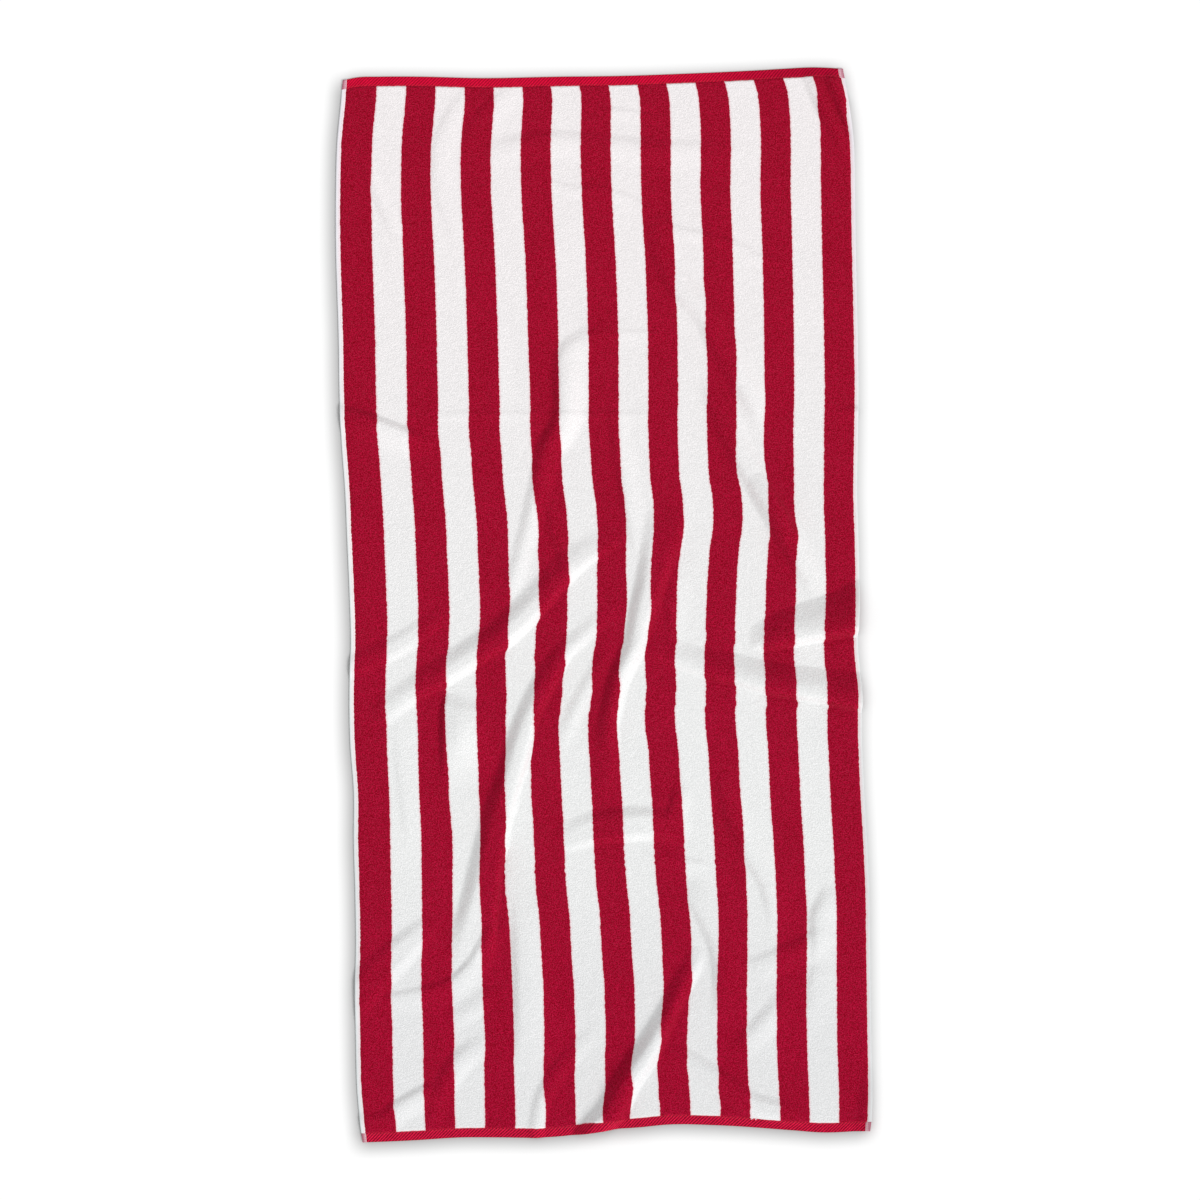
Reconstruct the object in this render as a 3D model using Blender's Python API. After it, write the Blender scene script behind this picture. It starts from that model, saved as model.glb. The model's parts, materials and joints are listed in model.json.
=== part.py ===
"""Beach towel: one terry cloth, striped lengthwise, lying flat and lightly rumpled.

The towel lies on the XY plane with its length along Y and its pile up. It is one sheet, 3 mm thick in the
pile and thinner in its turned hems, that lifts off the plane where it is folded into soft ridges. Each row of
threads keeps its length, so the cloth draws in sideways where it climbs over a ridge.
"""

from collections import namedtuple

import bpy
import numpy as np

# Driving dimensions, in metres
STRIPE_WIDTH = 0.0422
STRIPES = 17
SIDE_HEM = 0.0063
END_HEM = 0.0135
CLOTH_LENGTH = 1.500
CLOTH_WIDTH = STRIPES * STRIPE_WIDTH + 2 * SIDE_HEM
PILE_THICKNESS = 0.0030
HEM_THICKNESS = 0.0018
HEM_STEP = 0.0015  # over which the pile thins to a hem
EDGE_RISE = 0.0010  # how far the edges stand off the surface between the corners
EDGE_REACH = 0.030  # and how far in from them the cloth has come down

# The tables below are in millimetres
MM = 0.001

# Where the long edges lie, from the far end to the near end, and how far to the right the threads have drifted
# in the middle of the cloth
Side = namedtuple("Side", "y left right drift")
SIDES = (
    Side(750, -367, 337, 2),
    Side(715, -369, 341, 2),
    Side(650, -375, 348, 1),
    Side(580, -377, 350, 1),
    Side(510, -377, 350, 4),
    Side(370, -373, 353, 6),
    Side(300, -372, 354, 7),
    Side(230, -369, 353, 7),
    Side(160, -364, 352, 8),
    Side(90, -361, 354, 10),
    Side(20, -358, 355, 8),
    Side(-50, -356, 353, 5),
    Side(-115, -358, 358, 1),
    Side(-190, -357, 359, 1),
    Side(-260, -352, 362, -1),
    Side(-330, -352, 366, 2),
    Side(-400, -350, 369, 3),
    Side(-470, -349, 370, 6),
    Side(-540, -350, 371, 6),
    Side(-610, -349, 372, 4),
    Side(-680, -346, 374, 2),
    Side(-750, -340, 371, 2),
)

# Where the short edges lie, from left to right
End = namedtuple("End", "x y")
FAR_END = (
    End(-367, 736),
    End(-315, 741),
    End(-260, 741),
    End(-175, 739),
    End(-63, 741),
    End(21, 742),
    End(133, 746),
    End(217, 750),
    End(290, 752),
    End(337, 750),
)
NEAR_END = (
    End(-340, -750),
    End(-245, -743),
    End(-147, -745),
    End(-49, -740),
    End(21, -733),
    End(87, -725),
    End(154, -726),
    End(260, -734),
    End(301, -737),
    End(371, -734),
)

# The folds, each a ridge in the cloth. Each section of a ridge gives a point of its crest line, how far the
# cloth rises there, and its brow, which is how far it stays level to each side of the crest. left and right are
# the widths of its flanks, on the two sides of someone who walks along it, at the first section and at the last.
Fold = namedtuple("Fold", "left right sections")
Section = namedtuple("Section", "x y rise brow")
FOLDS = {
    # the three long ones down the middle and the near half
    "middle": Fold((18, 16), (20, 18), (
        Section(88, 141, 0, 14), Section(77, 85, 7, 12), Section(62, 34, 11, 6), Section(53, -6, 12, 4),
        Section(35, -59, 11, 1), Section(15, -98, 9, 0), Section(3, -136, 6, 0), Section(-4, -170, 0, 0))),
    "long": Fold((18, 20), (20, 22), (
        Section(-15, -10, 0, 0), Section(-50, -48, 2.5, 0), Section(-77, -106, 6, 0),
        Section(-116, -171, 9, 1), Section(-137, -232, 11, 3), Section(-161, -340, 12, 6),
        Section(-172, -402, 11, 11), Section(-183, -475, 6, 20), Section(-195, -531, 0, 24))),
    "near_end": Fold((20, 70), (24, 26), (
        Section(133, -461, 0, 0), Section(122, -503, 5, 0), Section(95, -564, 11, 0),
        Section(64, -616, 14, 2), Section(12, -680, 15, 3), Section(-28, -727, 14, 4),
        Section(-56, -769, 12, 4))),
    # the pair that runs out at the right edge, and the low one that climbs to the middle from the left
    "right_edge_far": Fold((22, 38), (16, 20), (
        Section(203, -49, 0, 0), Section(238, -39, 5, 3), Section(284, -25, 10, 4), Section(329, -10, 14, 5),
        Section(385, 7, 16, 6))),
    "right_edge_near": Fold((20, 30), (16, 16), (
        Section(49, -59, 0, 3), Section(84, -69, 3, 5), Section(154, -84, 6, 6), Section(231, -99, 10, 5),
        Section(284, -108, 11, 5), Section(350, -119, 10, 8), Section(392, -126, 10, 9))),
    "slant": Fold((18, 16), (18, 14), (
        Section(-329, -148, 0, 0), Section(-280, -118, 3, 2), Section(-227, -98, 5.5, 4),
        Section(-169, -59, 7, 5), Section(-94, -1, 7.5, 6), Section(-46, 32, 6, 4), Section(-4, 56, 4, 1),
        Section(35, 76, 0, 0))),
    "left_edge": Fold((16, 16), (14, 14), (
        Section(-378, -92, 2, 4), Section(-301, -62, 3, 4), Section(-259, -36, 2.5, 3),
        Section(-228, -8, 0, 0))),
    # lower ones in the far half
    "far_left": Fold((20, 13), (26, 13), (
        Section(63, 391, 0, 0), Section(14, 387, 1, 0), Section(-28, 376, 2, 0), Section(-56, 352, 3.5, 1),
        Section(-68, 314, 6, 2), Section(-74, 270, 7, 2), Section(-84, 222, 6.5, 1),
        Section(-96, 160, 5.5, 1), Section(-108, 90, 3.5, 0), Section(-118, 29, 0, 0))),
    "far_right": Fold((24, 22), (18, 18), (
        Section(70, 491, 0, 0), Section(119, 442, 4.5, 3), Section(154, 393, 5.5, 3), Section(182, 337, 5, 3),
        Section(206, 288, 3, 2), Section(224, 253, 0, 0))),
    "far_right_lower": Fold((20, 20), (18, 18), (
        Section(144, 316, 0, 0), Section(172, 267, 4.5, 3), Section(206, 211, 5.5, 4),
        Section(245, 148, 6.5, 5), Section(281, 85, 5, 4), Section(304, 36, 0, 2))),
    # lower ones in the near half
    "arch": Fold((16, 14), (18, 18), (
        Section(-91, -318, 0, 2), Section(-42, -314, 3, 4), Section(15, -305, 5, 5), Section(70, -302, 4.5, 5),
        Section(119, -311, 2.5, 4), Section(150, -322, 0, 2))),
    "beside_long": Fold((45, 45), (14, 14), (
        Section(-117, -412, 0, 3), Section(-117, -455, 4, 3), Section(-115, -495, 5, 3),
        Section(-111, -531, 5, 3), Section(-109, -582, 3, 3), Section(-111, -622, 0, 2))),
    "hook": Fold((40, 40), (12, 12), (
        Section(119, -384, 0, 0), Section(140, -419, 2.5, 2), Section(161, -468, 5, 2),
        Section(167, -517, 5, 2), Section(164, -559, 2, 2), Section(161, -594, 0, 2))),
    "right_bend": Fold((14, 14), (30, 30), (
        Section(186, -512, 0, 0), Section(220, -498, 2.5, 2), Section(270, -473, 4, 2),
        Section(298, -435, 5, 2), Section(314, -395, 3, 2), Section(321, -367, 0, 0))),
    "left_low": Fold((16, 16), (16, 16), (
        Section(-378, -547, 4, 4), Section(-322, -503, 5, 4), Section(-280, -473, 3.5, 3),
        Section(-239, -440, 0, 2))),
    "left_curl": Fold((10, 10), (30, 30), (
        Section(-329, -554, 0, 0), Section(-287, -550, 2, 0), Section(-231, -546, 3, 0),
        Section(-195, -515, 3.5, 0), Section(-169, -479, 3, 0), Section(-158, -454, 0, 0))),
    "near_left": Fold((14, 14), (22, 22), (
        Section(-284, -699, 0, 0), Section(-256, -678, 3, 1), Section(-199, -627, 4, 2),
        Section(-165, -602, 3, 1), Section(-144, -580, 0, 0))),
    "near_corner": Fold((14, 14), (22, 22), (
        Section(-343, -734, 0, 1), Section(-294, -713, 3.5, 2), Section(-245, -686, 3.5, 3),
        Section(-214, -661, 0, 0))),
    "near_middle": Fold((16, 16), (16, 20), (
        Section(-126, -755, 3, 2), Section(-99, -697, 3.5, 2), Section(-64, -650, 3.5, 2),
        Section(-7, -594, 1.5, 2), Section(24, -563, 0, 0))),
    "near_right": Fold((14, 14), (16, 16), (
        Section(94, -622, 0, 0), Section(133, -647, 2.5, 3), Section(182, -673, 3.5, 4),
        Section(238, -700, 3, 4), Section(277, -715, 0, 2))),
}

# How finely the sheet is cut: columns to a stripe, and rows that are closer where the folds are
COLUMNS_PER_STRIPE = 3
Band = namedtuple("Band", "start end rows")
ROW_BANDS = (
    Band(-735, 115, 58),
    Band(115, 485, 18),
    Band(485, 735, 5),
)
CREST_POINTS = 101  # how finely a crest line is read
FIT_ROUNDS = 12  # how often the threads are laid again until each has its length


def smooth_line(at, knots, values):
    """A smooth curve through (knots, values), read at `at`: cubic pieces whose slopes are the secants' means."""
    knots = np.asarray(knots, float)
    values = np.asarray(values, float)
    slopes = np.gradient(values, knots)
    piece = np.clip(np.searchsorted(knots, at) - 1, 0, len(knots) - 2)
    span = knots[piece + 1] - knots[piece]
    u = np.clip((at - knots[piece]) / span, 0, 1)
    low, high = values[piece], values[piece + 1]
    lead = span * slopes[piece] * u * (1 - u) ** 2
    trail = span * slopes[piece + 1] * u**2 * (1 - u)
    return low + (high - low) * u**2 * (3 - 2 * u) + lead - trail


def edge_curve(table, key, value):
    """The edge in one of the tables as a function, in metres."""
    rows = sorted(table, key=lambda row: getattr(row, key))
    knots = [getattr(row, key) * MM for row in rows]
    values = [getattr(row, value) * MM for row in rows]
    return lambda at: smooth_line(at, knots, values)


def fold_lift(fold, x, y):
    """How high one fold lifts the cloth at (x, y).

    The crest is a smooth line through the fold's sections, and a point belongs to the part of it that is
    nearest. Across the crest the cloth is level as far as the brow, and from there the flank falls by
    1 - q^2 (3 - 2 q), q being how much of the flank's width lies behind.
    """
    sections = np.array(fold.sections, float) * MM
    way = np.arange(len(sections))
    share = np.linspace(0, way[-1], CREST_POINTS)
    crest_x, crest_y, rise, brow = (smooth_line(share, way, column) for column in sections.T)
    gap = np.hypot(x[..., None] - crest_x, y[..., None] - crest_y)
    near = gap.argmin(axis=-1)
    heading_x = np.gradient(crest_x)[near]
    heading_y = np.gradient(crest_y)[near]
    to_left = heading_x * (y - crest_y[near]) - heading_y * (x - crest_x[near]) > 0
    left, right = (np.interp(share[near], way[[0, -1]], widths) for widths in (fold.left, fold.right))
    flank = np.where(to_left, left, right) * MM
    q = np.clip((gap.min(axis=-1) - brow[near]) / flank, 0, 1)
    return rise[near].clip(0) * (1 - q**2 * (3 - 2 * q))


def lift(x, y):
    """How high the folds lift the underside of the cloth above the surface it lies on."""
    return sum(fold_lift(fold, x, y) for fold in FOLDS.values())


def edge_lift(across, along):
    """How high the edges lift the underside. The towel rests on its middle and its corners, and between the
    corners its edges stand off by EDGE_RISE, eased in by s^2 (3 - 2 s) over EDGE_REACH."""
    inset_side = CLOTH_WIDTH / 2 - np.abs(across)[None, :]
    inset_end = CLOTH_LENGTH / 2 - np.abs(along)[:, None]
    side, end = (
        share**2 * (3 - 2 * share)
        for share in (np.clip(1 - inset / EDGE_REACH, 0, 1) for inset in (inset_side, inset_end))
    )
    return EDGE_RISE * (side * (1 - end) + end * (1 - side))


def lines_across():
    """The mesh's columns, as places across the flat cloth: those of the stripes, between the two hems'."""
    half = CLOTH_WIDTH / 2
    hem = [-half, -half + SIDE_HEM - HEM_STEP]
    inner = np.linspace(-half + SIDE_HEM, half - SIDE_HEM, STRIPES * COLUMNS_PER_STRIPE + 1)
    return np.concatenate([hem, inner, -np.array(hem[::-1])])


def lines_along():
    """The mesh's rows, as places along the flat cloth: both hems, then the bands of rows between them."""
    half = CLOTH_LENGTH / 2
    hem = [-half, -half + END_HEM - HEM_STEP / 2]
    bands = [np.linspace(band.start, band.end, band.rows + 1)[:-1] * MM for band in ROW_BANDS]
    last = [ROW_BANDS[-1].end * MM]
    return np.concatenate([hem, *bands, last, -np.array(hem[::-1])])


def lay_out(across, along):
    """Where each point of the flat cloth lies on the plane.

    Along Y the points share out the way from the near end to the far end. Across, each row runs from the left
    edge to the right edge, and its points are moved until each has its share of the row's length over the
    folds. Then the row drifts to the right by 4 u (1 - u) of the middle's drift, u being the share.
    """
    left, right, drift = (edge_curve(SIDES, "y", column) for column in Side._fields[1:])
    near, far = edge_curve(NEAR_END, "x", "y"), edge_curve(FAR_END, "x", "y")
    u, v = np.meshgrid(across / CLOTH_WIDTH + 0.5, along / CLOTH_LENGTH + 0.5)
    x, y = (u - 0.5) * CLOTH_WIDTH, (v - 0.5) * CLOTH_LENGTH
    share = u
    for _ in range(FIT_ROUNDS):
        y = near(x) + (far(x) - near(x)) * v
        x = left(y) + (right(y) - left(y)) * share
        step = np.hypot(np.diff(x, axis=1), np.diff(lift(x, y), axis=1))
        run = np.pad(np.cumsum(step, axis=1), ((0, 0), (1, 0)))
        share = share + u - run / run[:, -1:]
    return x + drift(y) * 4 * u * (1 - u), y


def thickness(across, along):
    """The cloth's thickness: the pile's, and the hem's along the four edges."""
    in_side = np.abs(across) > CLOTH_WIDTH / 2 - SIDE_HEM + HEM_STEP / 2
    in_end = np.abs(along) > CLOTH_LENGTH / 2 - END_HEM
    return np.where(in_side[None, :] | in_end[:, None], HEM_THICKNESS, PILE_THICKNESS)


def upward(points):
    """The upward normals of a grid of points, from the differences between neighbours."""
    normal = np.cross(np.gradient(points, axis=1), np.gradient(points, axis=0))
    return normal / np.linalg.norm(normal, axis=-1, keepdims=True)


def closed_faces(rows, columns):
    """Quads of a closed sheet of two grids: the lower one's points come first, then the upper one's."""
    index = np.arange(rows * columns).reshape(rows, columns)
    upper = index + rows * columns
    corner = (slice(None, -1), slice(None, -1))
    right = (slice(None, -1), slice(1, None))
    across = (slice(1, None), slice(1, None))
    back = (slice(1, None), slice(None, -1))
    top = np.stack([upper[corner], upper[right], upper[across], upper[back]], axis=-1)
    bottom = np.stack([index[corner], index[back], index[across], index[right]], axis=-1)
    border = np.concatenate([index[0], index[1:, -1], index[-1, -2::-1], index[-2:0:-1, 0]])
    following = np.roll(border, -1)
    rim = np.stack([border, following, following + upper[0, 0], border + upper[0, 0]], axis=-1)
    return np.concatenate([top.reshape(-1, 4), bottom.reshape(-1, 4), rim])


def stripe_of(across):
    """0 for a red stripe and 1 for a white one or a side hem. The outermost stripes are red."""
    count = np.floor((across + STRIPES * STRIPE_WIDTH / 2) / STRIPE_WIDTH)
    in_hem = (count < 0) | (count >= STRIPES)
    return np.where(in_hem, 1, count % 2).astype(int)


def terry(name, colour):
    """A dull cotton pile."""
    material = bpy.data.materials.new(name)
    material.use_nodes = True
    shader = material.node_tree.nodes["Principled BSDF"]
    shader.inputs["Base Color"].default_value = (*colour, 1)
    shader.inputs["Roughness"].default_value = 0.95
    shader.inputs["Metallic"].default_value = 0
    shader.inputs["Sheen Weight"].default_value = 0.3
    material.diffuse_color = (*colour, 1)
    return material


def make_towel():
    """The towel as one closed sheet, each face coloured by its stripe."""
    across, along = lines_across(), lines_along()
    x, y = lay_out(across, along)
    under = np.stack([x, y, lift(x, y) + edge_lift(across, along)], axis=-1)
    over = under + upward(under) * thickness(across, along)[..., None]
    points = np.concatenate([under.reshape(-1, 3), over.reshape(-1, 3)])
    faces = closed_faces(*x.shape)

    mesh = bpy.data.meshes.new("towel")
    mesh.from_pydata(points.tolist(), [], faces.tolist())
    mesh.materials.append(terry("red_terry", (0.33, 0.005, 0.022)))
    mesh.materials.append(terry("white_terry", (0.84, 0.83, 0.82)))
    place = np.broadcast_to(across, x.shape).ravel()
    middle = place[faces % place.size].mean(axis=1)
    row = np.broadcast_to(along[:, None], x.shape).ravel()[faces % place.size].mean(axis=1)
    in_end_hem = np.abs(row) > CLOTH_LENGTH / 2 - END_HEM
    mesh.polygons.foreach_set("material_index", np.where(in_end_hem, 0, stripe_of(middle)))
    mesh.shade_smooth()
    mesh.set_sharp_from_angle(angle=np.radians(50))
    mesh.validate()
    towel = bpy.data.objects.new("towel", mesh)
    bpy.context.scene.collection.objects.link(towel)
    return towel


for leftover in list(bpy.data.objects):
    bpy.data.objects.remove(leftover, do_unlink=True)
make_towel()
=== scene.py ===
"""A striped terry beach towel, spread out flat on a pale floor and seen from above."""

import json
import math
from collections import namedtuple

import bpy
import numpy as np
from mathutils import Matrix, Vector

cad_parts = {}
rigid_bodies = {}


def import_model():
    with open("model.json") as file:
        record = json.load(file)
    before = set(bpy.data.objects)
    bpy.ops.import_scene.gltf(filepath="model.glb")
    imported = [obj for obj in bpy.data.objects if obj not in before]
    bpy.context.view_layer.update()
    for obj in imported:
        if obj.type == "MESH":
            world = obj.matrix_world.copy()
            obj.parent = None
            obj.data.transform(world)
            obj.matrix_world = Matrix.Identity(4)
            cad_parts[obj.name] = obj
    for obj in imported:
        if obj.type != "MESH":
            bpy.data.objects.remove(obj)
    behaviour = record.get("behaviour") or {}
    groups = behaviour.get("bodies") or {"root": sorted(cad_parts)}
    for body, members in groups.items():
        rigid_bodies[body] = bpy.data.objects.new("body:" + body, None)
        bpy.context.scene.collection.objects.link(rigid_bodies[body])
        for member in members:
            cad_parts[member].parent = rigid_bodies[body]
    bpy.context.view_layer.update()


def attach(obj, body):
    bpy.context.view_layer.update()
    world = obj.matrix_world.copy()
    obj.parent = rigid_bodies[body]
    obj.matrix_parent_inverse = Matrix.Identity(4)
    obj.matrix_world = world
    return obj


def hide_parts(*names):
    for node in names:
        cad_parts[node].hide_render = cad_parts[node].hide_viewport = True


for leftover in list(bpy.data.objects):
    bpy.data.objects.remove(leftover, do_unlink=True)
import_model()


# The lie of the cloth ---------------------------
# The towel is one length of cotton terry that was spread by hand and not smoothed. It lies flat on the floor
# but for the soft folds in it, each a low ridge, and the long ones rise to a finger's width.

CLOTH_WIDTH = 0.731
CLOTH_LENGTH = 1.500
MM = 0.001

# The long edges from the far end to the near end, and how far the threads at each quarter between them have
# drifted to the right, in mm
Side = namedtuple("Side", "y left right drift_1 drift_2 drift_3")
SIDES = (
    Side(750, -367, 334, 1, -1, -2),
    Side(715, -369, 339, 1, -1, -2),
    Side(650, -375, 348, -1, -1, 0),
    Side(580, -377, 350, 0, 1, -1),
    Side(510, -377, 351, 3, 4, 1),
    Side(370, -373, 354, 4, 5, 2),
    Side(300, -372, 355, 4, 6, 3),
    Side(230, -369, 354, 4, 6, 2),
    Side(160, -364, 353, 5, 7, 3),
    Side(90, -361, 355, 7, 9, 2),
    Side(20, -358, 356, 7, 7, 0),
    Side(-50, -356, 354, 5, 5, -2),
    Side(-115, -358, 359, 2, 0, -3),
    Side(-190, -357, 360, 4, 0, -1),
    Side(-260, -352, 363, 0, 0, -1),
    Side(-330, -352, 367, 4, 1, 1),
    Side(-400, -350, 370, 2, 3, 1),
    Side(-470, -349, 371, 3, 5, 1),
    Side(-540, -350, 372, 3, 6, 0),
    Side(-610, -349, 373, 4, 4, 0),
    Side(-680, -347, 374, 1, 1, 2),
    Side(-750, -340, 371, -3, 2, 3),
)

# The short edges, from left to right, in mm
End = namedtuple("End", "x y")
FAR_END = (
    End(-367, 736), End(-347, 740), End(-315, 741), End(-260, 741), End(-175, 739), End(-63, 741),
    End(21, 742), End(133, 746), End(217, 750), End(250, 752), End(290, 754), End(338, 752),
)
NEAR_END = (
    End(-340, -751), End(-309, -750), End(-265, -748), End(-197, -744), End(-147, -744), End(-85, -744),
    End(-49, -741), End(-18, -736), End(4, -733), End(45, -730), End(87, -726), End(154, -727),
    End(260, -734), End(301, -737), End(372, -734),
)

# Places where the cloth was pulled sideways, in mm: how far each reaches across and along, and by how much
Pull = namedtuple("Pull", "x y wide long by")
PULLS = (
    Pull(80, 60, 45, 110, -3.5),
    Pull(59, -50, 24, 40, -4),
    Pull(17, 12, 20, 30, 2.5),
    Pull(250, 270, 50, 120, -2),
    Pull(-109, -50, 30, 30, -2.5),
    Pull(-192, -328, 16, 40, 3.5),
    Pull(-135, -320, 30, 45, -4),
    Pull(101, -470, 30, 40, 3),
    Pull(80, -610, 40, 40, -2.5),
    Pull(-100, -620, 30, 60, -2.5),
)

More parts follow.
